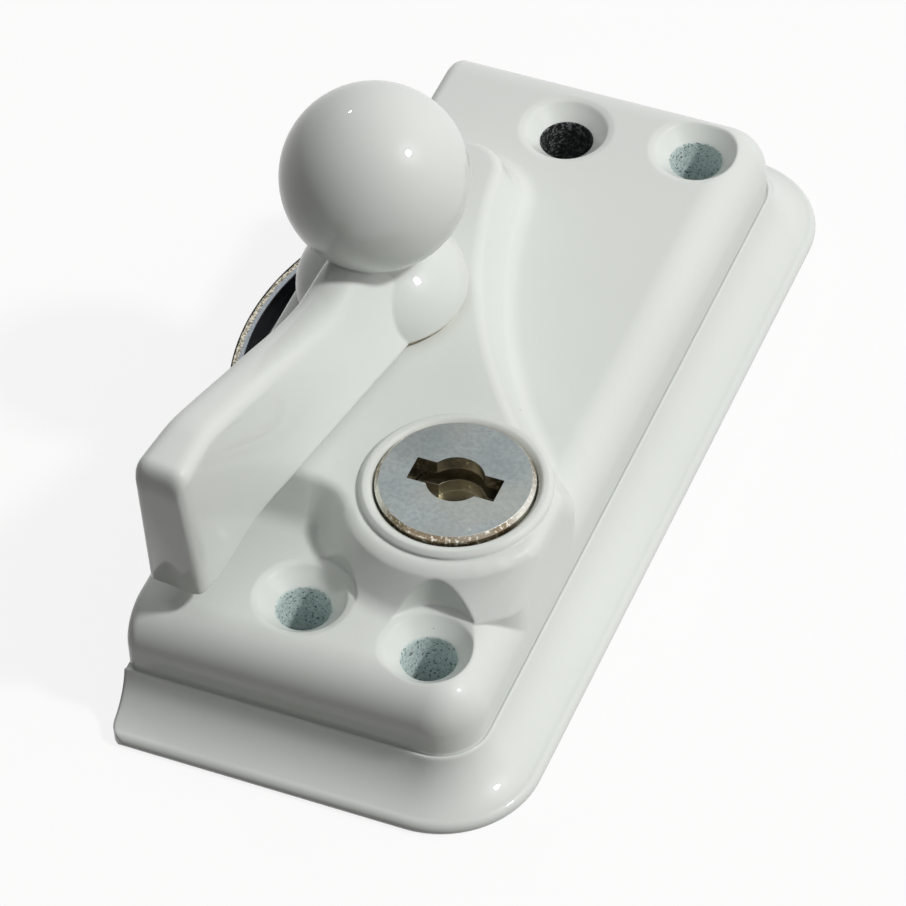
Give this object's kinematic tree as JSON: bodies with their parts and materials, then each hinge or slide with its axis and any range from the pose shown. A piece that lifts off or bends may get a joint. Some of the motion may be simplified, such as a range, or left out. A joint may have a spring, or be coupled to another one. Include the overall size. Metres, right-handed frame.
{
  "type": "window pivot lock",
  "caption": "Window lock with a swing arm and ball knob that turns a hook out of one side, blocked by a key in the face, screwed flat to a sash.",
  "frame": {"origin": "centre of the housing's footprint on the mounting face, on the underside of the middle rib", "axes": "+Z out of the mounting face towards the arm, +Y along the housing away from the end the arm points to, -X towards the flat side that the hook comes out of"},
  "size_m": [0.0389, 0.08, 0.0356],
  "materials": {
    "white_coat": "gloss powder coat on die-cast zinc",
    "plain_steel": "plain",
    "zinc_plated_steel": "zinc plated, sheared edges",
    "satin_steel": "satin, bright bevel",
    "brass": "turned",
    "bronze": "dull"
  },
  "bodies": {
    "case": {"housing": "white_coat", "lock_barrel": "satin_steel", "barrel_ring": "plain_steel", "follower_bush": "bronze"},
    "arm": {"swing_arm": "white_coat", "pivot_spindle": "plain_steel", "hook_cam": "zinc_plated_steel", "hub_washer": "bronze", "disc_spring": "plain_steel", "thrust_washer": "plain_steel", "spindle_ring": "plain_steel"},
    "follower": {"key_follower": "brass", "locking_lever": "zinc_plated_steel", "lever_washer": "plain_steel", "lever_screw": "plain_steel"}
  },
  "joints": [
    {"name": "arm_swing", "type": "hinge", "parent": "case", "child": "arm", "pos_m": [-0.0098, 0.0015, 0], "axis": [0, 0, 1], "range_deg": [-100, 0]},
    {"name": "key_turn", "type": "hinge", "parent": "case", "child": "follower", "pos_m": [0.0042, -0.0167, 0], "axis": [0, 0, -1], "range_deg": [0, 60]}
  ]
}
